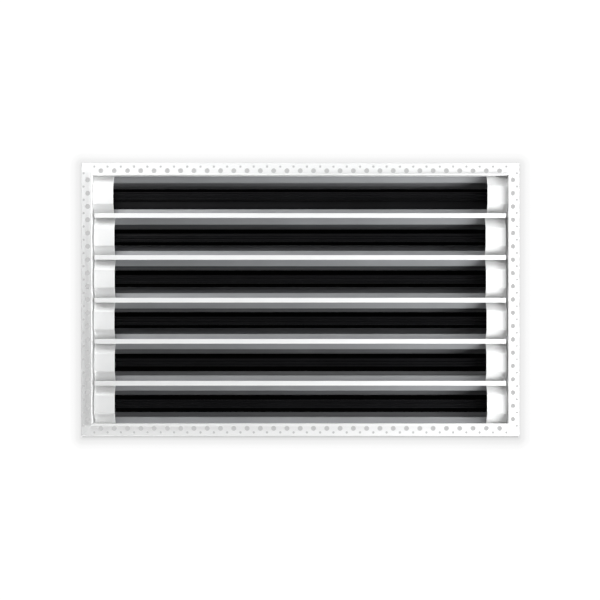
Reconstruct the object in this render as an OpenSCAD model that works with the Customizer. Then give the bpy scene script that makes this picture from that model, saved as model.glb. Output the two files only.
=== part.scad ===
// Six-slot linear air grille with a plaster-in perforated frame.
// Face towards -Y, slots along X, +Z up. The origin is the centre of the
// opening on the back plane of the flange, where it lies on the board.

/* [Opening] */
// Clear length of the opening, inside the frame lip
open_w = 397; // [393:1:401]
// Clear height of the opening, inside the frame lip
open_h = 237; // [236.6:0.2:237.8]
// Distance from one slot centre to the next
slot_pitch = 40; // [39.9:0.05:40.1]

/* [Frame] */
// Wall thickness of the frame extrusion
frame_t = 1.5; // [1.2:0.1:1.6]
// Width of the perforated flange beside the collar, on the short sides
flange_w = 9; // [8.5:0.1:14]
// Width of the perforated flange above and below the collar
flange_h = 10.4; // [8.5:0.1:14]
// How far the lip stands in front of the flange, the depth of the plaster skim
lip_h = 3; // [2:0.5:4]
// Depth of the collar from the front of the lip to its rear edge
collar_d = 45; // [44:1:80]
// Gap left at each mitred corner
mitre_gap = 0.06; // [0.05:0.01:0.3]

/* [Perforation] */
// Hole pitch along the flange
hole_pitch = 12.7; // [12:0.1:14]
// Radius of the large plaster-key holes
big_r = 2.35; // [2:0.05:2.5]
// Radius of the small fixing holes
small_r = 1.15; // [0.9:0.05:1.4]
// Large-hole row, measured from the outside of the collar
big_row = 3.1; // [2.9:0.05:3.3]
// Small-hole row, measured from the outside of the collar
small_row = 7; // [6.8:0.1:7.2]

/* [Divider bars] */
// Width of the visible bar face
bar_face = 4.5; // [4.3:0.1:5.2]
// How far each bar sits below its nominal place, from the top down
bar_drop = [0, 0, 0.75, 0, 0]; // [0:0.05:0.8]
// Thickness of the bar face
bar_t = 1.6; // [1.2:0.1:2]
// Thickness of the bar web
web_t = 1.6; // [1.4:0.1:1.6]
// Depth of the bar from its face to its rear edge
bar_d = 34; // [33:0.5:35]
// Half length of the bars
bar_half = 196.3; // [195:0.1:196.4]

/* [Blades] */
// Distance from a slot centre to a blade pivot
pivot_v = 15.2; // [15.1:0.05:15.3]
// Depth of the pivots behind the front of the lip
pivot_d = 18; // [17.9:0.05:18.1]
// Distance from the pivot to the blade tip
blade_l = 12.9; // [12.6:0.1:13]
// Blade thickness
blade_t = 1.1; // [0.9:0.05:1.1]
// Half length of the blades
blade_half = 181.4; // [176.5:0.1:181.6]
// Swing from closed to fully open, in degrees
blade_swing = 80; // [70:1:80]
// Opening angle of each upper blade, from the top slot down
rest_upper = [59, 64, 65, 66, 60, 60]; // [0:1:70]
// Opening angle of each lower blade, from the top slot down
rest_lower = [3, 50, 48, 51, 61, 59]; // [0:1:70]

/* [End covers] */
// Length of each cover along the slot
cover_l = 19.4; // [18:0.1:19.5]
// Half height of the flat front of a cover
cover_flat = 8.5; // [7:0.1:9]
// Sheet thickness of a cover
cover_t = 1.2; // [1:0.1:1.2]
// Depth of the flat front behind the front of the lip
cover_d = 3; // [2.5:0.5:4]
// How far each left cover sits out from its nominal place
shift_left = [1.5, 0.4, 0.1, 0.4, 0.1, 0.1]; // [0:0.1:1.7]
// How far each right cover sits out from its nominal place
shift_right = [1.7, 0, 0.3, 0.9, 0.7, 1.4]; // [0:0.1:1.7]

/* [Hidden] */

slots = 6;
fw = open_w / 2;             // inner face of the side members
fh = open_h / 2;             // inner face of the top and bottom members
y0 = lip_h + frame_t;        // the front of the lip is at y = -y0
ow = fw + frame_t;           // outside of the collar
oh = fh + frame_t;
mitre_x = 2 * (frame_t + flange_w);   // the mitre runs from the corner of the opening
mitre_z = 2 * (frame_t + flange_h);   // to the corner of the flange, and on
web_v = slot_pitch / 2 - web_t / 2;             // slot centre to a bar web
edge_v = fh - slot_pitch * (slots - 1) / 2;     // slot centre to the frame, end slots
carrier_half = 181.7;        // carriers run in behind the end covers, up to the spacers
rib_half = 181.8;
cover_start = 177.25;        // inner end of a cover in its nominal place
notch_x = 182.1;             // the side walls of a cover are notched back to here
notch_d = 11.7;              // and from this depth, to clear the carriers
rib_h = 1;
rib_front = 14;            // the two ribs that hold a carrier
rib_rear = 23.15;
rib_t = 0.85;
bead_r = 1.6;                // blade bead, running in the carrier groove
groove_r = bead_r + 0.06;
groove_wall = 1.24;
rod_x = 187;
rod_d = 26;                  // depth of the tie rods
rod_r = 2.5;
rod_hole_r = 2.7;
screw_r = 1.5;               // screws into the rod ends
spacer_r = 4.5;
strip_half = 192;
strip_v = 4;
strip_d = 15.2;
strip_t = 1.5;
stem_v = 0.8;
stem_end = 31;
bracket_d = 36;
bracket_w = 8;
bracket_l = 20;
bracket_t = 1.5;
rivet_at = 12;               // rivet to corner

function slot_z(i) = (2.5 - i) * slot_pitch;
function drop_above(i) = i == 0 ? 0 : bar_drop[i - 1];
function drop_below(i) = i == slots - 1 ? 0 : bar_drop[i];
function upper_wall(i) = (i == 0 ? edge_v : web_v) - drop_above(i);
function lower_wall(i) = (i == slots - 1 ? edge_v : web_v) + drop_below(i);
// a carrier and its blade hang on the wall next to them, so they move with it
function side_z(i, side) = slot_z(i) - (side > 0 ? drop_above(i) : drop_below(i));
function side_wall(i, side) = (side > 0 ? i == 0 : i == slots - 1) ? edge_v : web_v;

// a profile drawn as (depth, height) and run along X, centred
module along_x(len) {
    translate([0, -y0, 0]) rotate([90, 0, 90]) linear_extrude(height = len, center = true) children();
}

// a profile drawn as (depth, distance out) and run along Z, centred
module along_z(len) {
    translate([0, -y0, 0]) mirror([1, -1, 0]) linear_extrude(height = len, center = true) children();
}

// round hole or pin along Y
module y_cyl(x, z, r, d0, d1) {
    translate([x, d0 - y0, z]) rotate([-90, 0, 0]) cylinder(r = r, h = d1 - d0, $fn = 32);
}

// round hole or pin along Z
module z_cyl(x, d, r, za, zb) {
    translate([x, d - y0, za]) cylinder(r = r, h = zb - za, $fn = 48);
}

// round hole or pin along X
module x_cyl(d, z, r, xa, xb) {
    translate([xa, d - y0, z]) rotate([0, 90, 0]) cylinder(r = r, h = xb - xa, $fn = 48);
}

// ---------- frame ----------

// section of the frame extrusion: first coordinate depth, second distance out
module frame_section(inner, flange) {
    c = 0.35;
    polygon([[0, inner + c], [c, inner], [collar_d, inner],
        [collar_d, inner + frame_t], [y0, inner + frame_t],
        [y0, inner + frame_t + flange - c], [y0 - c, inner + frame_t + flange],
        [lip_h + c, inner + frame_t + flange], [lip_h, inner + frame_t + flange - c],
        [lip_h, inner + frame_t], [c, inner + frame_t], [0, inner + frame_t - c]]);
}

module frame_ribs() {
    for (d = [rib_front, rib_rear])
        along_x(2 * rib_half) translate([d, fh - rib_h]) square([rib_t, rib_h + 0.4]);
}

function holes_along(open) = floor((open - 8) / hole_pitch) + 1;

module frame_long() {
    n = holes_along(open_w);
    difference() {
        intersection() {
            union() {
                along_x(2 * (ow + flange_w) + 2) frame_section(fh, flange_h);
                frame_ribs();
            }
            translate([0, 60, 0]) rotate([90, 0, 0]) linear_extrude(height = 120)
                polygon([[-fw + mitre_gap, fh - 3], [-fw + mitre_gap, fh],
                    [-fw - mitre_x + mitre_gap, fh + mitre_z], [fw + mitre_x - mitre_gap, fh + mitre_z],
                    [fw - mitre_gap, fh], [fw - mitre_gap, fh - 3]]);
        }
        for (k = [0 : n - 1])
            y_cyl((k - (n - 1) / 2) * hole_pitch, oh + big_row, big_r, lip_h - 1, y0 + 1);
        for (k = [0 : n])
            y_cyl((k - n / 2) * hole_pitch, oh + small_row, small_r, lip_h - 1, y0 + 1);
        for (s = [-1, 1]) {
            z_cyl(s * rod_x, rod_d, screw_r + 0.15, fh - 2, oh + 1);
            z_cyl(s * (fw - rivet_at), bracket_d + bracket_w / 2, 1.65, fh - 1, oh + 1);
        }
    }
}

module frame_side() {
    n = holes_along(open_h);
    difference() {
        intersection() {
            along_z(2 * (oh + flange_h) + 2) frame_section(fw, flange_w);
            translate([0, 60, 0]) rotate([90, 0, 0]) linear_extrude(height = 120)
                polygon([[fw - 1, -fh + mitre_gap], [fw, -fh + mitre_gap],
                    [fw + mitre_x, -fh - mitre_z + mitre_gap], [fw + mitre_x, fh + mitre_z - mitre_gap],
                    [fw, fh - mitre_gap], [fw - 1, fh - mitre_gap]]);
        }
        for (k = [0 : n - 1])
            y_cyl(ow + big_row, (k - (n - 1) / 2) * hole_pitch, big_r, lip_h - 1, y0 + 1);
        for (k = [0 : n])
            y_cyl(ow + small_row, (k - n / 2) * hole_pitch, small_r, lip_h - 1, y0 + 1);
        for (s = [-1, 1])
            x_cyl(bracket_d + bracket_w / 2, s * (fh - rivet_at), 1.65, fw - 1, ow + 1);
    }
}

module frame_top() { color("white") frame_long(); }
module frame_bottom() { color("white") mirror([0, 0, 1]) frame_long(); }
module frame_right() { color("white") frame_side(); }
module frame_left() { color("white") mirror([1, 0, 0]) frame_side(); }

// bent angle inside one corner of the collar, behind the bars
module corner_bracket() {
    difference() {
        translate([0, bracket_d - y0, 0]) rotate([90, 0, 0]) translate([0, 0, -bracket_w])
            linear_extrude(height = bracket_w)
                polygon([[fw - bracket_l, fh], [fw - bracket_l, fh - bracket_t],
                    [fw - bracket_t - 1, fh - bracket_t], [fw - bracket_t, fh - bracket_t - 1],
                    [fw - bracket_t, fh - bracket_l], [fw, fh - bracket_l], [fw, fh]]);
        z_cyl(fw - rivet_at, bracket_d + bracket_w / 2, 1.65, fh - 4, fh + 1);
        x_cyl(bracket_d + bracket_w / 2, fh - rivet_at, 1.65, fw - 4, fw + 1);
    }
}

module corner_brackets() {
    color("silver") for (mx = [0, 1], mz = [0, 1])
        mirror([mx, 0, 0]) mirror([0, 0, mz]) corner_bracket();
}

// blind rivet along +Z: head above z = 0, shank and tail below
module rivet() {
    grip = frame_t + bracket_t;
    cylinder(r1 = 3.1, r2 = 2, h = 0.9, $fn = 32);
    translate([0, 0, -grip]) cylinder(r = 1.6, h = grip + 0.1, $fn = 32);
    translate([0, 0, -grip - 1.3]) cylinder(r1 = 1.9, r2 = 2.4, h = 1.3, $fn = 32);
}

module corner_rivets() {
    d = bracket_d + bracket_w / 2 - y0;
    color("lightgray") for (sx = [-1, 1], sz = [-1, 1]) {
        translate([sx * (fw - rivet_at), d, sz * oh]) rotate([sz > 0 ? 0 : 180, 0, 0]) rivet();
        translate([sx * ow, d, sz * (fh - rivet_at)]) rotate([0, sx * 90, 0]) rivet();
    }
}

// ---------- divider bars ----------

module bar_section() {
    f = bar_face / 2;
    w = web_t / 2;
    c = 0.3;
    polygon([[0, -f + c], [c, -f], [bar_t, -f], [bar_t, -w], [bar_d - 1.2, -w],
        [bar_d - 1.2, -2], [bar_d, -2], [bar_d, 2], [bar_d - 1.2, 2],
        [bar_d - 1.2, w], [bar_t, w], [bar_t, f], [c, f], [0, f - c]]);
}

module divider_bar(k) {
    color("white") translate([0, 0, slot_z(k - 1) - slot_pitch / 2 - bar_drop[k - 1]]) difference() {
        union() {
            along_x(2 * bar_half) bar_section();
            for (d = [rib_front, rib_rear])
                along_x(2 * rib_half) translate([d, -web_t / 2 - rib_h]) square([rib_t, web_t + 2 * rib_h]);
        }
        for (s = [-1, 1]) z_cyl(s * rod_x, rod_d, rod_hole_r, -3, 3);
    }
}

// ---------- end covers ----------

// folded hat section over the tie rods; up and down are the walls it reaches
module cover_section(up, down) {
    t = cover_t;
    u = up - 0.1;
    l = down - 0.1;
    f = cover_flat;
    b = 10.5;                // depth of the outer folds
    i = f - 0.38;            // inner corner of the flat front
    polygon([[stem_end, u], [b, u], [cover_d + 0.25, f + 0.35], [cover_d, f - 0.3],
        [cover_d, -f + 0.3], [cover_d + 0.25, -f - 0.35], [b, -l], [stem_end, -l],
        [stem_end, -l + t], [b + 0.63, -l + t], [cover_d + t, -i],
        [cover_d + t, i], [b + 0.63, u - t], [stem_end, u - t]]);
}

module end_cover(i, side, shift) {
    color("white") translate([0, 0, slot_z(i)]) difference() {
        translate([side * (cover_start + cover_l / 2 + shift), 0, 0])
            along_x(cover_l) cover_section(upper_wall(i), lower_wall(i));
        z_cyl(side * rod_x, rod_d, rod_hole_r, -30, 30);
        translate([-notch_x, notch_d - y0, -30]) cube([2 * notch_x, 40, 60]);
    }
}

// ---------- blade carriers ----------

// section of an upper carrier in a slot whose wall is at v = wall: its nose
// runs in front of the rib, and its back butts against the second rib
module carrier_section(wall) {
    r = groove_r + groove_wall;
    swing0 = -28;
    swing1 = blade_swing + 22;
    difference() {
        union() {
            polygon([[12.7, wall], [12.7, wall - 0.2],
                [12.7 + (wall - 13.3) * 0.25, 13.1], [14.6, 12.8], [15.6, 12.75], [pivot_d - 2.9 * sin(28), pivot_v - 2.9 * cos(28)],
                [pivot_d, pivot_v], [pivot_d + 2, wall - 1.3],
                [rib_rear - 0.05, wall - 1.3], [rib_rear - 0.05, wall]]);
            translate([pivot_d, pivot_v]) circle(r = r, $fn = 64);
        }
        translate([rib_front - 0.05, wall - rib_h - 0.05]) square([rib_t + 0.1, rib_h + 1]);
        translate([pivot_d, pivot_v]) circle(r = groove_r, $fn = 64);
        translate([pivot_d, pivot_v])
            polygon(concat([[0, 0]], [for (a = [swing0 : (swing1 - swing0) / 8 : swing1 + 0.01])
                [6.2 * sin(a), -6.2 * cos(a)]]));
    }
}

module carrier(i, side) {
    color([0.33, 0.33, 0.34]) translate([0, 0, side_z(i, side)])
        mirror([0, 0, side > 0 ? 0 : 1]) along_x(2 * carrier_half) carrier_section(side_wall(i, side));
}

// ---------- centre strips ----------

module strip_section() {
    c = 0.3;
    union() {
        polygon([[strip_d, -strip_v + c], [strip_d + c, -strip_v], [strip_d + strip_t, -strip_v],
            [strip_d + strip_t, -stem_v], [stem_end, -stem_v], [stem_end, stem_v],
            [strip_d + strip_t, stem_v], [strip_d + strip_t, strip_v], [strip_d + c, strip_v],
            [strip_d, strip_v - c]]);
        for (v = [-3, 0, 3]) {
            h = v == 0 ? 0.75 : 0.5;
            w = v == 0 ? 0.75 : 0.5;
            polygon([[strip_d + 0.2, v - w], [strip_d, v - w], [strip_d - h, v - w * 0.35],
                [strip_d - h, v + w * 0.35], [strip_d, v + w], [strip_d + 0.2, v + w]]);
        }
    }
}

module centre_strip(i) {
    color([0.07, 0.07, 0.08]) translate([0, 0, slot_z(i)]) difference() {
        along_x(2 * strip_half) strip_section();
        for (s = [-1, 1]) z_cyl(s * rod_x, rod_d, rod_hole_r, -3, 3);
    }
}

// ---------- blades ----------

// upper blade, closed: bead at the pivot, leaf running down to the tip
module blade_section() {
    n = 14;
    sag = 0.3;
    l = blade_l - blade_t / 2;
    function bow(t) = sag * (1 - cos(360 * t)) / 2;
    union() {
        circle(r = bead_r, $fn = 64);
        polygon(concat(
            [for (k = [0 : n]) [-bow(k / n) - blade_t / 2, -l * k / n]],
            [for (k = [n : -1 : 0]) [-bow(k / n) + blade_t / 2, -l * k / n]]));
        translate([0, -l]) circle(r = blade_t / 2, $fn = 32);
    }
}

module blade(i, side, angle) {
    color([0.06, 0.06, 0.07]) translate([0, 0, side_z(i, side)]) mirror([0, 0, side > 0 ? 0 : 1])
        along_x(2 * blade_half) translate([pivot_d, pivot_v]) rotate(angle) blade_section();
}

// ---------- tie rods ----------

// spans the collar from wall to wall, tapped at both ends
module tie_rod(side) {
    color("silver") translate([side * rod_x, rod_d - y0, 0]) difference() {
        cylinder(r = rod_r, h = 2 * fh - 0.1, center = true, $fn = 48);
        for (s = [0, 1]) mirror([0, 0, s]) translate([0, 0, fh - 11])
            cylinder(r = screw_r + 0.04, h = 12, $fn = 32);
    }
}

module spacer(x, za, zb) {
    difference() {
        z_cyl(x, rod_d, spacer_r, za, zb);
        z_cyl(x, rod_d, rod_hole_r, za - 1, zb + 1);
    }
}

module rod_spacers() {
    g = 0.05;
    color("gainsboro") for (s = [-1, 1], i = [0 : slots - 1]) {
        spacer(s * rod_x, slot_z(i) + stem_v + g, slot_z(i) + upper_wall(i) - 0.1 - cover_t - g);
        spacer(s * rod_x, slot_z(i) - lower_wall(i) + 0.1 + cover_t + g, slot_z(i) - stem_v - g);
    }
}

// low flat head on the outside of the collar, with a hexagon socket
module rod_screws() {
    color("silver") for (s = [-1, 1], m = [0, 1]) mirror([0, 0, m])
        translate([s * rod_x, rod_d - y0, oh]) difference() {
            union() {
                cylinder(r = 4, h = 1, $fn = 48);
                translate([0, 0, 1]) cylinder(r1 = 4, r2 = 3.5, h = 0.5, $fn = 48);
                translate([0, 0, -frame_t - 8]) cylinder(r = screw_r, h = frame_t + 8.5, $fn = 32);
            }
            translate([0, 0, 0.3]) cylinder(r = 1.45, h = 2, $fn = 6);
        }
}

frame_top();
frame_bottom();
frame_left();
frame_right();
corner_brackets();
corner_rivets();
divider_bar(1);  // divider_bar_1
divider_bar(2);  // divider_bar_2
divider_bar(3);  // divider_bar_3
divider_bar(4);  // divider_bar_4
divider_bar(5);  // divider_bar_5
end_cover(0, -1, shift_left[0]);  // end_cover_left_1
end_cover(1, -1, shift_left[1]);  // end_cover_left_2
end_cover(2, -1, shift_left[2]);  // end_cover_left_3
end_cover(3, -1, shift_left[3]);  // end_cover_left_4
end_cover(4, -1, shift_left[4]);  // end_cover_left_5
end_cover(5, -1, shift_left[5]);  // end_cover_left_6
end_cover(0, 1, shift_right[0]);  // end_cover_right_1
end_cover(1, 1, shift_right[1]);  // end_cover_right_2
end_cover(2, 1, shift_right[2]);  // end_cover_right_3
end_cover(3, 1, shift_right[3]);  // end_cover_right_4
end_cover(4, 1, shift_right[4]);  // end_cover_right_5
end_cover(5, 1, shift_right[5]);  // end_cover_right_6
carrier(0, 1);  // blade_carrier_upper_1
carrier(1, 1);  // blade_carrier_upper_2
carrier(2, 1);  // blade_carrier_upper_3
carrier(3, 1);  // blade_carrier_upper_4
carrier(4, 1);  // blade_carrier_upper_5
carrier(5, 1);  // blade_carrier_upper_6
carrier(0, -1);  // blade_carrier_lower_1
carrier(1, -1);  // blade_carrier_lower_2
carrier(2, -1);  // blade_carrier_lower_3
carrier(3, -1);  // blade_carrier_lower_4
carrier(4, -1);  // blade_carrier_lower_5
carrier(5, -1);  // blade_carrier_lower_6
centre_strip(0);  // centre_strip_1
centre_strip(1);  // centre_strip_2
centre_strip(2);  // centre_strip_3
centre_strip(3);  // centre_strip_4
centre_strip(4);  // centre_strip_5
centre_strip(5);  // centre_strip_6
blade(0, 1, rest_upper[0]);  // blade_upper_1
blade(1, 1, rest_upper[1]);  // blade_upper_2
blade(2, 1, rest_upper[2]);  // blade_upper_3
blade(3, 1, rest_upper[3]);  // blade_upper_4
blade(4, 1, rest_upper[4]);  // blade_upper_5
blade(5, 1, rest_upper[5]);  // blade_upper_6
blade(0, -1, rest_lower[0]);  // blade_lower_1
blade(1, -1, rest_lower[1]);  // blade_lower_2
blade(2, -1, rest_lower[2]);  // blade_lower_3
blade(3, -1, rest_lower[3]);  // blade_lower_4
blade(4, -1, rest_lower[4]);  // blade_lower_5
blade(5, -1, rest_lower[5]);  // blade_lower_6
tie_rod(-1);  // tie_rod_left
tie_rod(1);  // tie_rod_right
rod_spacers();
rod_screws();
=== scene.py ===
"""Louvred air grille: looks, stage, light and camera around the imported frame."""
import math

import bpy
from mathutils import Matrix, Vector


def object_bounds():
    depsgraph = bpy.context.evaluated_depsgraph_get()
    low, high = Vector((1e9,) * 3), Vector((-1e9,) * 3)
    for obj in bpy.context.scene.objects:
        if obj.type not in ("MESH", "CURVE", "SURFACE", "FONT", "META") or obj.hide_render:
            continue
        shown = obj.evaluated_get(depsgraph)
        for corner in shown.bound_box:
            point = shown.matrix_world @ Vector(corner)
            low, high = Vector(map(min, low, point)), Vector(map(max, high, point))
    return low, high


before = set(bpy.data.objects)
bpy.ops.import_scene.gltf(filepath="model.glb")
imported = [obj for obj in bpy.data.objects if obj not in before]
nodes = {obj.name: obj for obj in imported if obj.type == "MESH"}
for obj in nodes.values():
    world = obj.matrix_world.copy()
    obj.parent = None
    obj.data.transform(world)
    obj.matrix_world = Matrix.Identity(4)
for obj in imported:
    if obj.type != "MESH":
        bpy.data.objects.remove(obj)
cad_lo, cad_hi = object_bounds()
scene = bpy.context.scene


# ------------------------------------------------------------------ node helpers

class Tree:
    """A small wrapper that keeps material building short."""

    def __init__(self, name):
        self.mat = bpy.data.materials.new(name)
        self.mat.use_nodes = True
        self.t = self.mat.node_tree
        self.n = self.t.nodes
        self.bsdf = next(x for x in self.n if x.type == "BSDF_PRINCIPLED")
        self.out = next(x for x in self.n if x.type == "OUTPUT_MATERIAL")
        self.coord = self.n.new("ShaderNodeTexCoord")

    def link(self, a, b):
        self.t.links.new(a, b)

    def scaled(self, sx, sy, sz, offset=(0, 0, 0)):
        m = self.n.new("ShaderNodeMapping")
        m.inputs["Scale"].default_value = (sx, sy, sz)
        m.inputs["Location"].default_value = offset
        self.link(self.coord.outputs["Object"], m.inputs["Vector"])
        return m.outputs["Vector"]

    def noise(self, vector, scale=1.0, detail=2.0, rough=0.5, distortion=0.0):
        k = self.n.new("ShaderNodeTexNoise")
        k.inputs["Scale"].default_value = scale
        k.inputs["Detail"].default_value = detail
        k.inputs["Roughness"].default_value = rough
        k.inputs["Distortion"].default_value = distortion
        self.link(vector, k.inputs["Vector"])
        return k.outputs["Fac"]

    def voronoi(self, vector, scale, randomness=1.0, out="Distance"):
        k = self.n.new("ShaderNodeTexVoronoi")
        k.inputs["Scale"].default_value = scale
        k.inputs["Randomness"].default_value = randomness
        self.link(vector, k.inputs["Vector"])
        return k.outputs[out]

    def ramp(self, fac, stops):
        r = self.n.new("ShaderNodeValToRGB")
        e = r.color_ramp.elements
        while len(e) < len(stops):
            e.new(0.5)
        for el, (p, c) in zip(e, stops):
            el.position = p
            el.color = (c[0], c[1], c[2], 1) if len(c) == 3 else c
        self.link(fac, r.inputs["Fac"])
        return r.outputs["Color"]

    def span(self, fac, lo, hi, a=0.0, b=1.0):
        m = self.n.new("ShaderNodeMapRange")
        m.inputs["From Min"].default_value = a
        m.inputs["From Max"].default_value = b
        m.inputs["To Min"].default_value = lo
        m.inputs["To Max"].default_value = hi
        self.link(fac, m.inputs["Value"])
        return m.outputs["Result"]

    def math(self, op, a, b):
        m = self.n.new("ShaderNodeMath")
        m.operation = op
        for k, v in enumerate((a, b)):
            if isinstance(v, (int, float)):
                m.inputs[k].default_value = v
            else:
                self.link(v, m.inputs[k])
        return m.outputs[0]

    def mix(self, fac, a, b):
        m = self.n.new("ShaderNodeMix")
        m.data_type = "RGBA"
        self.link(fac, m.inputs["Factor"])
        for socket, v in ((m.inputs[6], a), (m.inputs[7], b)):
            if isinstance(v, tuple):
                socket.default_value = (v[0], v[1], v[2], 1)
            else:
                self.link(v, socket)
        return m.outputs[2]

    def bump(self, height, strength, distance, normal=None):
        b = self.n.new("ShaderNodeBump")
        b.inputs["Strength"].default_value = strength
        b.inputs["Distance"].default_value = distance
        self.link(height, b.inputs["Height"])
        if normal is not None:
            self.link(normal, b.inputs["Normal"])
        return b.outputs["Normal"]

    def axis(self, index):
        s = self.n.new("ShaderNodeSeparateXYZ")
        self.link(self.coord.outputs["Object"], s.inputs["Vector"])
        return s.outputs[index]

    def set(self, **values):
        for k, v in values.items():
            s = self.bsdf.inputs[k.replace("_", " ")]
            if isinstance(v, (int, float)):
                s.default_value = v
            elif isinstance(v, tuple):
                s.default_value = (v[0], v[1], v[2], 1)
            else:
                self.link(v, s)


# ------------------------------------------------------------------ materials

def powder_coat(name, low, high, flange=None, web=None):
    """White powder coat: a soft orange-peel skin, faint mottling and a few fine specks."""
    m = Tree(name)
    peel = m.noise(m.scaled(1, 1, 1), 620, 3, 0.55)
    fine = m.noise(m.scaled(1, 1, 1, (3, 1, 2)), 2600, 2, 0.6)
    mott = m.noise(m.scaled(1, 1, 1, (1, 4, 2)), 38, 4, 0.6)
    drawn = m.noise(m.scaled(5, 420, 420), 1, 2, 0.5)
    body = m.ramp(mott, [(0.3, low), (0.7, high)])
    if flange is not None:
        # the perforated flange is flatter and greyer than the polished lip
        x = m.math("ABSOLUTE", m.axis(0), 0)
        z = m.math("ABSOLUTE", m.axis(2), 0)
        dx = m.math("SUBTRACT", x, 0.2003)
        dz = m.math("SUBTRACT", z, 0.1203)
        out = m.math("MAXIMUM", dx, dz)
        f = m.span(out, 0, 1, -0.0001, 0.0003)
        speck = m.noise(m.scaled(1, 1, 1, (9, 2, 5)), 1300, 2, 0.7)
        grey = m.ramp(speck, [(0.32, tuple(c * 0.94 for c in flange)), (0.68, flange)])
        body = m.mix(f, body, grey)
    if web is not None:
        # painted shade, partly a guess at an uncoated web: past y = 1.3 to 1.9 mm the bar turns dark grey, back into
        # the slot where shade falls
        back = m.span(m.axis(1), 0, 1, 0.0013, 0.0019)
        body = m.mix(back, body, m.ramp(drawn, [(0.3, tuple(c * 0.85 for c in web)), (0.7, web)]))
    rough = m.span(mott, 0.33, 0.45)
    h = m.math("ADD", m.math("MULTIPLY", peel, 1.0), m.math("MULTIPLY", fine, 0.25))
    n1 = m.bump(h, 0.35, 0.00012)
    n2 = m.bump(drawn, 0.10, 0.00006, n1)
    m.set(Base_Color=body, Roughness=rough, Normal=n2, IOR=1.5)
    return m.mat


def painted_sheet(name):
    """White stove-enamelled sheet for the folded end covers."""
    m = Tree(name)
    roll = m.noise(m.scaled(900, 40, 40), 1, 2, 0.5)
    mott = m.noise(m.scaled(1, 1, 1, (7, 1, 3)), 60, 3, 0.55)
    peel = m.noise(m.scaled(1, 1, 1), 900, 2, 0.5)
    col = m.ramp(mott, [(0.3, (0.84, 0.84, 0.836)), (0.7, (0.88, 0.88, 0.877))])
    n1 = m.bump(peel, 0.22, 0.0001)
    n2 = m.bump(roll, 0.10, 0.00005, n1)
    m.set(Base_Color=col, Roughness=m.span(mott, 0.30, 0.42), Normal=n2, IOR=1.5)
    return m.mat


def anodised(name, low, high, r0, r1, lines=0.5):
    """Black anodised extrusion: die lines along X, satin sheen that varies from line to line."""
    m = Tree(name)
    die = m.noise(m.scaled(2.2, 1500, 1500), 1, 3, 0.6)
    broad = m.noise(m.scaled(1.2, 240, 240, (4, 0, 0)), 1, 2, 0.5)
    cloud = m.noise(m.scaled(1, 1, 1, (2, 6, 1)), 30, 3, 0.55)
    col = m.ramp(m.math("ADD", m.math("MULTIPLY", broad, 0.6), m.math("MULTIPLY", cloud, 0.4)),
                 [(0.32, low), (0.68, high)])
    rough = m.span(m.math("ADD", m.math("MULTIPLY", die, 0.6), m.math("MULTIPLY", cloud, 0.4)), r0, r1, 0.25, 0.75)
    n1 = m.bump(die, lines, 0.00003)
    n2 = m.bump(broad, lines * 0.6, 0.00008, n1)
    m.set(Base_Color=col, Roughness=rough, Normal=n2, IOR=1.55)
    return m.mat


def zinc(name):
    """Bright zinc plate with a faint spangle and drawing marks."""
    m = Tree(name)
    cell = m.voronoi(m.scaled(1, 1, 1), 700, 1.0, "Color")
    sep = m.n.new("ShaderNodeSeparateColor")
    m.link(cell, sep.inputs["Color"])
    rub = m.noise(m.scaled(300, 300, 18), 1, 3, 0.6)
    k = m.math("ADD", m.math("MULTIPLY", sep.outputs[0], 0.4), m.math("MULTIPLY", rub, 0.6))
    col = m.ramp(k, [(0.2, (0.50, 0.51, 0.53)), (0.8, (0.68, 0.69, 0.71))])
    m.set(Base_Color=col, Roughness=m.span(k, 0.26, 0.44), Normal=m.bump(rub, 0.2, 0.00005), Metallic=1.0)
    return m.mat


def mill(name, low, high, along):
    """Mill-finish aluminium, drawn or spun."""
    m = Tree(name)
    line = m.noise(m.scaled(*along), 1, 3, 0.6)
    mott = m.noise(m.scaled(1, 1, 1), 120, 2, 0.5)
    col = m.ramp(mott, [(0.3, low), (0.7, high)])
    m.set(Base_Color=col, Roughness=m.span(line, 0.28, 0.46), Normal=m.bump(line, 0.25, 0.00004), Metallic=1.0)
    return m.mat


frame_white = powder_coat("frame_powder_coat", (0.85, 0.85, 0.846), (0.885, 0.885, 0.88), flange=(0.88, 0.88, 0.877))
bar_white = powder_coat("bar_powder_coat", (0.85, 0.85, 0.846), (0.88, 0.88, 0.875), web=(0.15, 0.152, 0.156))
cover_white = painted_sheet("cover_enamel")
carrier_grey = anodised("carrier_anodised", (0.285, 0.29, 0.298), (0.348, 0.353, 0.362), 0.34, 0.46)


def blade_finish(name, low, high, sheen):
    mat = anodised(name, low, high, 0.42, 0.56)
    b = next(n for n in mat.node_tree.nodes if n.type == "BSDF_PRINCIPLED")
    b.inputs["Specular IOR Level"].default_value = 0.06
    b.inputs["Sheen Weight"].default_value = sheen
    b.inputs["Sheen Roughness"].default_value = 0.3
    b.inputs["Sheen Tint"].default_value = (0.95, 0.97, 1.0, 1)
    return mat


# lit and shaded copies of one blade finish, fitted to the brightness of the blades: the dark copy is painted shade,
# the pale copy painted light; the record states one near-black finish for all of them
blade_painted_shade = blade_finish("blade_anodised_painted_shade", (0.004, 0.004, 0.0045), (0.008, 0.008, 0.009), 0.8)
blade_black = blade_finish("blade_anodised", (0.070, 0.071, 0.075), (0.094, 0.096, 0.100), 1.0)
blade_painted_light = blade_finish("blade_anodised_painted_light", (0.128, 0.130, 0.135), (0.165, 0.167, 0.173), 1.0)
strip_black = anodised("strip_anodised", (0.003, 0.003, 0.0035), (0.007, 0.007, 0.008), 0.34, 0.48)
strip_bsdf = next(n for n in strip_black.node_tree.nodes if n.type == "BSDF_PRINCIPLED")
strip_bsdf.inputs["Specular IOR Level"].default_value = 0.12
zinc_plate = zinc("zinc_plate")
rivet_alu = mill("rivet_aluminium", (0.66, 0.66, 0.67), (0.78, 0.78, 0.79), (500, 500, 500))
tube_alu = mill("tube_aluminium", (0.60, 0.60, 0.61), (0.72, 0.72, 0.73), (900, 900, 14))


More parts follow.
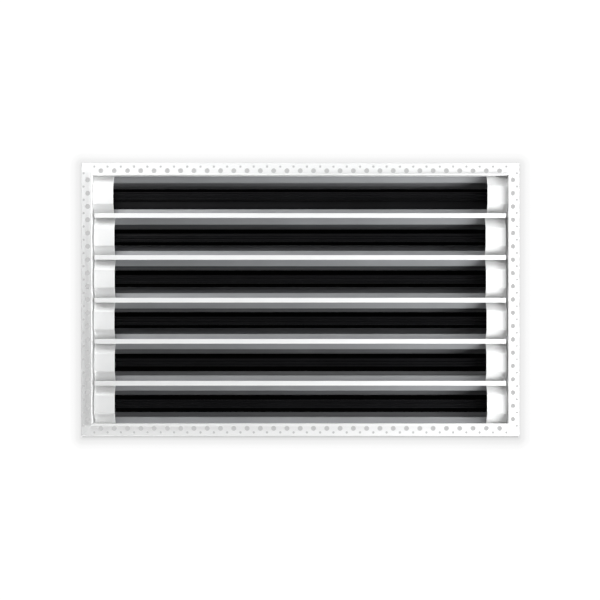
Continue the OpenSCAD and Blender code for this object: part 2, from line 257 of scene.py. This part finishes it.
def material_for(node):
    if node.startswith("frame_"):
        return frame_white, 0.00022
    if node.startswith("divider_bar"):
        return bar_white, 0.00022
    if node.startswith("end_cover"):
        return cover_white, 0.00020
    if node.startswith("blade_carrier"):
        return carrier_grey, 0.00012
    if node.startswith("centre_strip"):
        return strip_black, 0.00012
    # painted shade: blade_lower_1 gets the dark copy of the blade finish
    if node == "blade_lower_1":
        return blade_painted_shade, 0.00012
    # painted light: blade_upper_1 and the blades of rows 5 and 6 get the pale copy of the blade finish
    if node.startswith("blade_"):
        return (blade_painted_light if node[-1] in "56" or node == "blade_upper_1" else blade_black), 0.00012
    if node == "corner_rivets":
        return rivet_alu, 0.00012
    if node == "rod_spacers":
        return tube_alu, 0.00020
    return zinc_plate, 0.00018


def smooth_group():
    """Geometry nodes: drop the imported normals, then shade smooth except across real edges."""
    g = bpy.data.node_groups.new("smooth_by_angle", "GeometryNodeTree")
    g.interface.new_socket("Geometry", in_out="INPUT", socket_type="NodeSocketGeometry")
    g.interface.new_socket("Geometry", in_out="OUTPUT", socket_type="NodeSocketGeometry")
    i, o = g.nodes.new("NodeGroupInput"), g.nodes.new("NodeGroupOutput")
    faces = g.nodes.new("GeometryNodeSetShadeSmooth")
    faces.domain = "FACE"
    edges = g.nodes.new("GeometryNodeSetShadeSmooth")
    edges.domain = "EDGE"
    edges.inputs["Shade Smooth"].default_value = False
    angle = g.nodes.new("GeometryNodeInputMeshEdgeAngle")
    more = g.nodes.new("FunctionNodeCompare")
    more.data_type, more.operation = "FLOAT", "GREATER_THAN"
    more.inputs[1].default_value = math.radians(32)
    g.links.new(i.outputs[0], faces.inputs["Geometry"])
    g.links.new(faces.outputs[0], edges.inputs["Geometry"])
    g.links.new(angle.outputs["Unsigned Angle"], more.inputs[0])
    g.links.new(more.outputs[0], edges.inputs["Selection"])
    g.links.new(edges.outputs[0], o.inputs[0])
    return g


def clean_group():
    g = bpy.data.node_groups.new("drop_imported_normals", "GeometryNodeTree")
    g.interface.new_socket("Geometry", in_out="INPUT", socket_type="NodeSocketGeometry")
    g.interface.new_socket("Geometry", in_out="OUTPUT", socket_type="NodeSocketGeometry")
    i, o = g.nodes.new("NodeGroupInput"), g.nodes.new("NodeGroupOutput")
    r = g.nodes.new("GeometryNodeRemoveAttribute")
    r.inputs["Name"].default_value = "custom_normal"
    g.links.new(i.outputs[0], r.inputs["Geometry"])
    g.links.new(r.outputs[0], o.inputs[0])
    return g


smooth, clean = smooth_group(), clean_group()

for name, obj in sorted(nodes.items()):
    mat, width = material_for(name)
    obj.data.materials.clear()
    obj.data.materials.append(mat)
    m = obj.modifiers.new("clean", "NODES")
    m.node_group = clean
    m = obj.modifiers.new("weld", "WELD")
    m.merge_threshold = 0.000004
    m = obj.modifiers.new("merge_flats", "DECIMATE")
    m.decimate_type = "DISSOLVE"
    m.angle_limit = math.radians(0.6)
    m.delimit = {"NORMAL"}
    m = obj.modifiers.new("edge_break", "BEVEL")
    m.width = width
    m.segments = 2
    m.limit_method = "ANGLE"
    m.angle_limit = math.radians(38)
    m.use_clamp_overlap = True
    m = obj.modifiers.new("smooth", "NODES")
    m.node_group = smooth
    m = obj.modifiers.new("flat_faces", "WEIGHTED_NORMAL")
    m.mode = "FACE_AREA"
    m.weight = 100
    m.keep_sharp = True


# ------------------------------------------------------------------ stage

def plane(name, corners):
    mesh = bpy.data.meshes.new(name)
    mesh.from_pydata(corners, [], [(0, 1, 2, 3)])
    o = bpy.data.objects.new(name, mesh)
    scene.collection.objects.link(o)
    return o


def one_sided(name, colour, glow=None):
    """Seen from the front only, so that the back of the grille can be looked at."""
    m = bpy.data.materials.new(name)
    m.use_nodes = True
    t = m.node_tree
    t.nodes.clear()
    out = t.nodes.new("ShaderNodeOutputMaterial")
    geo = t.nodes.new("ShaderNodeNewGeometry")
    mix = t.nodes.new("ShaderNodeMixShader")
    add = t.nodes.new("ShaderNodeAddShader")
    dif = t.nodes.new("ShaderNodeBsdfDiffuse")
    emi = t.nodes.new("ShaderNodeEmission")
    thru = t.nodes.new("ShaderNodeBsdfTransparent")
    dif.inputs["Color"].default_value = (*colour, 1)
    emi.inputs["Color"].default_value = (1, 1, 1, 1)
    emi.inputs["Strength"].default_value = 0.0
    if glow is not None:
        glow(t, emi)
    t.links.new(dif.outputs[0], add.inputs[0])
    t.links.new(emi.outputs[0], add.inputs[1])
    t.links.new(geo.outputs["Backfacing"], mix.inputs[0])
    t.links.new(add.outputs[0], mix.inputs[1])
    t.links.new(thru.outputs[0], mix.inputs[2])
    t.links.new(mix.outputs[0], out.inputs["Surface"])
    return m


def math_node(t, op, a, b=0.0):
    m = t.nodes.new("ShaderNodeMath")
    m.operation = op
    for k, v in enumerate((a, b)):
        if isinstance(v, (int, float)):
            m.inputs[k].default_value = v
        else:
            t.links.new(v, m.inputs[k])
    return m.outputs[0]


def backdrop_glow_painted_shadow(t, emi):
    """White backdrop with a painted soft contact shadow: its glow dims close round the flange and behind it."""
    co = t.nodes.new("ShaderNodeTexCoord")
    sep = t.nodes.new("ShaderNodeSeparateXYZ")
    t.links.new(co.outputs["Object"], sep.inputs["Vector"])
    # distance outside the flange rectangle, rounded at the corners
    dx = math_node(t, "MAXIMUM", math_node(t, "SUBTRACT", math_node(t, "ABSOLUTE", sep.outputs[0]), cad_hi.x * 1.022), 0.0)
    dz = math_node(t, "MAXIMUM", math_node(t, "SUBTRACT", math_node(t, "ABSOLUTE", sep.outputs[2]), cad_hi.z * 1.022), 0.0)
    d = math_node(t, "SQRT", math_node(t, "ADD", math_node(t, "MULTIPLY", dx, dx), math_node(t, "MULTIPLY", dz, dz)))
    # painted shadow: the glow runs from the painted hole shade at the flange edge up to full white 16 mm out
    r = t.nodes.new("ShaderNodeValToRGB")
    e = r.color_ramp.elements
    while len(e) < 5:
        e.new(0.5)
    for el, (p, c) in zip(e, ((0.0, HOLE_PAINTED_SHADE), (0.06, 0.76), (0.30, 0.87), (0.62, 0.96), (1.0, 1.04))):
        el.position = p
        el.color = (c, c, c, 1)
    r.color_ramp.interpolation = "EASE"
    t.links.new(math_node(t, "DIVIDE", d, 0.016), r.inputs["Fac"])
    t.links.new(r.outputs["Color"], emi.inputs["Color"])
    emi.inputs["Strength"].default_value = 1.0


# painted shade: the dimmed tone of the backdrop behind the flange, seen through its holes
HOLE_PAINTED_SHADE = 0.57
wall_y = cad_hi.y + 0.0010
wall = plane("stage_wall", [(-3, wall_y, -0.75), (3, wall_y, -0.75), (3, wall_y, 2.6), (-3, wall_y, 2.6)])
wall.data.materials.append(one_sided("stage_wall_paint", (0.02, 0.02, 0.02), backdrop_glow_painted_shadow))


def rim_shade_glow(t, emi):
    """Painted shade: one grey glow all over, the tone of the shade behind the rim."""
    emi.inputs["Color"].default_value = (HOLE_PAINTED_SHADE, HOLE_PAINTED_SHADE, HOLE_PAINTED_SHADE, 1)
    emi.inputs["Strength"].default_value = 1.0


RIM_PAINTED_SHADE = one_sided("stage_rim_painted_shade", (0.02, 0.02, 0.02), rim_shade_glow)
FLAG_BLACK = bpy.data.materials.new("stage_flag_black")
FLAG_BLACK.use_nodes = True
next(n for n in FLAG_BLACK.node_tree.nodes if n.type == "BSDF_PRINCIPLED").inputs["Base Color"].default_value = (0.01, 0.01, 0.01, 1)
# painted shade: a black sheet just behind the collar stands for the dark seen through the slots
slot_shade_sheet = plane("stage_slot_shade_sheet", [(-0.1985, cad_hi.y + 0.0004, -0.1185), (0.1985, cad_hi.y + 0.0004, -0.1185),
                                 (0.1985, cad_hi.y + 0.0004, 0.1185), (-0.1985, cad_hi.y + 0.0004, 0.1185)])
slot_shade_sheet.data.materials.append(one_sided("stage_slot_shade_black", (0.004, 0.004, 0.004)))
# neither of them stops the lights behind the grille
wall.visible_shadow = False
slot_shade_sheet.visible_shadow = False
floor = plane("stage_floor", [(-3, -3, -0.75), (3, -3, -0.75), (3, 3, -0.75), (-3, 3, -0.75)])
fm = Tree("stage_floor_pale")
fm.set(Base_Color=(0.85, 0.85, 0.85), Roughness=0.9)
floor.data.materials.append(fm.mat)
# the floor is only looked at: it does not flood the deep slots with light from below
floor.visible_diffuse = False
floor.visible_glossy = False

# a sheet just behind the perforated rim glows grey as painted shade, so the holes stay grey from every side
ring_y = cad_lo.y + 0.0051
for k, (x0, x1, z0, z1) in enumerate(((-0.2086, 0.2086, 0.1206, 0.1300), (-0.2086, 0.2086, -0.1300, -0.1206),
                                      (-0.2086, -0.2006, -0.1206, 0.1206), (0.2006, 0.2086, -0.1206, 0.1206))):
    back = plane("stage_rim_backing_%d" % k, [(x0, ring_y, z0), (x1, ring_y, z0), (x1, ring_y, z1), (x0, ring_y, z1)])
    back.data.materials.append(RIM_PAINTED_SHADE)

# flags beside the grille keep the front lights off the outside of the collar
for k, s in enumerate((-1, 1)):
    flag = plane("stage_flag_%d" % k, [(s * 0.2094, ring_y, -0.24), (s * 0.50, ring_y, -0.24), (s * 0.50, ring_y, 0.24), (s * 0.2094, ring_y, 0.24)])
    flag.data.materials.append(FLAG_BLACK)
    flag.visible_camera = False

world = bpy.data.worlds.new("stage_world")
scene.world = world
world.use_nodes = True
wt = world.node_tree
wt.nodes.clear()
w_out = wt.nodes.new("ShaderNodeOutputWorld")
w_mix = wt.nodes.new("ShaderNodeMixShader")
w_path = wt.nodes.new("ShaderNodeLightPath")
w_dim = wt.nodes.new("ShaderNodeBackground")
w_see = wt.nodes.new("ShaderNodeBackground")
w_dim.inputs["Color"].default_value = (0.96, 0.98, 1.0, 1)
w_dim.inputs["Strength"].default_value = 0.03
w_see.inputs["Color"].default_value = (1, 1, 1, 1)
w_see.inputs["Strength"].default_value = 1.0
wt.links.new(w_path.outputs["Is Camera Ray"], w_mix.inputs[0])
wt.links.new(w_dim.outputs[0], w_mix.inputs[1])
wt.links.new(w_see.outputs[0], w_mix.inputs[2])
wt.links.new(w_mix.outputs[0], w_out.inputs["Surface"])


def softbox(name, centre, width, height, radiance, colour=(1, 1, 1), aim=(0, 0, 0), spread=180):
    """A rectangular light whose long side runs along X, aimed at a point."""
    d = bpy.data.lights.new(name, "AREA")
    d.shape = "RECTANGLE"
    d.size, d.size_y = width, height
    d.energy = radiance * math.pi * width * height
    d.color = colour
    d.spread = math.radians(spread)
    o = bpy.data.objects.new(name, d)
    scene.collection.objects.link(o)
    o.location = centre
    o.rotation_mode = "QUATERNION"
    o.rotation_quaternion = (Vector(aim) - Vector(centre)).to_track_quat("-Z", "Y")
    o.visible_camera = False
    return o


def at(elevation, distance, x=0.0):
    e = math.radians(elevation)
    return (x, -distance * math.cos(e), distance * math.sin(e))


softbox("key_left", (-0.27, -0.25, 0.34), 0.34, 0.30, 5.05, (0.985, 0.995, 1.0), aim=(-0.08, 0, 0.02))
softbox("key_right", (0.60, -0.33, -0.20), 0.34, 0.30, 13.1, (0.985, 0.995, 1.0), aim=(0.06, 0, 0))
softbox("strip_right", (0.75, -0.19, 0.0), 0.28, 0.60, 7.2, (0.985, 0.995, 1.0), aim=(0.06, 0, 0))
softbox("high_right", (0.60, -0.14, 0.22), 0.24, 0.26, 9.6, (0.985, 0.995, 1.0), aim=(0.06, 0, 0))
softbox("front_fill", (0.0, -1.2, 0.1), 0.90, 0.60, 1.1)
# grazes the flange, lip and bar faces from below and stays out of the slots
softbox("under_left", (-0.30, -0.11, -0.58), 0.34, 0.10, 21.0, aim=(-0.15, 0, 0))
softbox("back_fill", (0.3, 1.5, 0.7), 1.2, 0.9, 3.2)
softbox("back_low", (-0.3, 1.2, -0.30), 1.0, 0.6, 2.4)

cam_data = bpy.data.cameras.new("camera")
cam_data.sensor_width = 36
cam_data.lens = 94.4
cam = bpy.data.objects.new("camera", cam_data)
scene.collection.objects.link(cam)
cam_data.shift_y = 0.1084
cam.location = (-0.0002, -1.5045, -0.0626)
cam.rotation_euler = (math.radians(90), 0, 0)
scene.camera = cam
scene.view_settings.view_transform = "Standard"
scene.view_settings.look = "None"
scene.view_settings.exposure = 0.0
scene.view_settings.gamma = 1.0
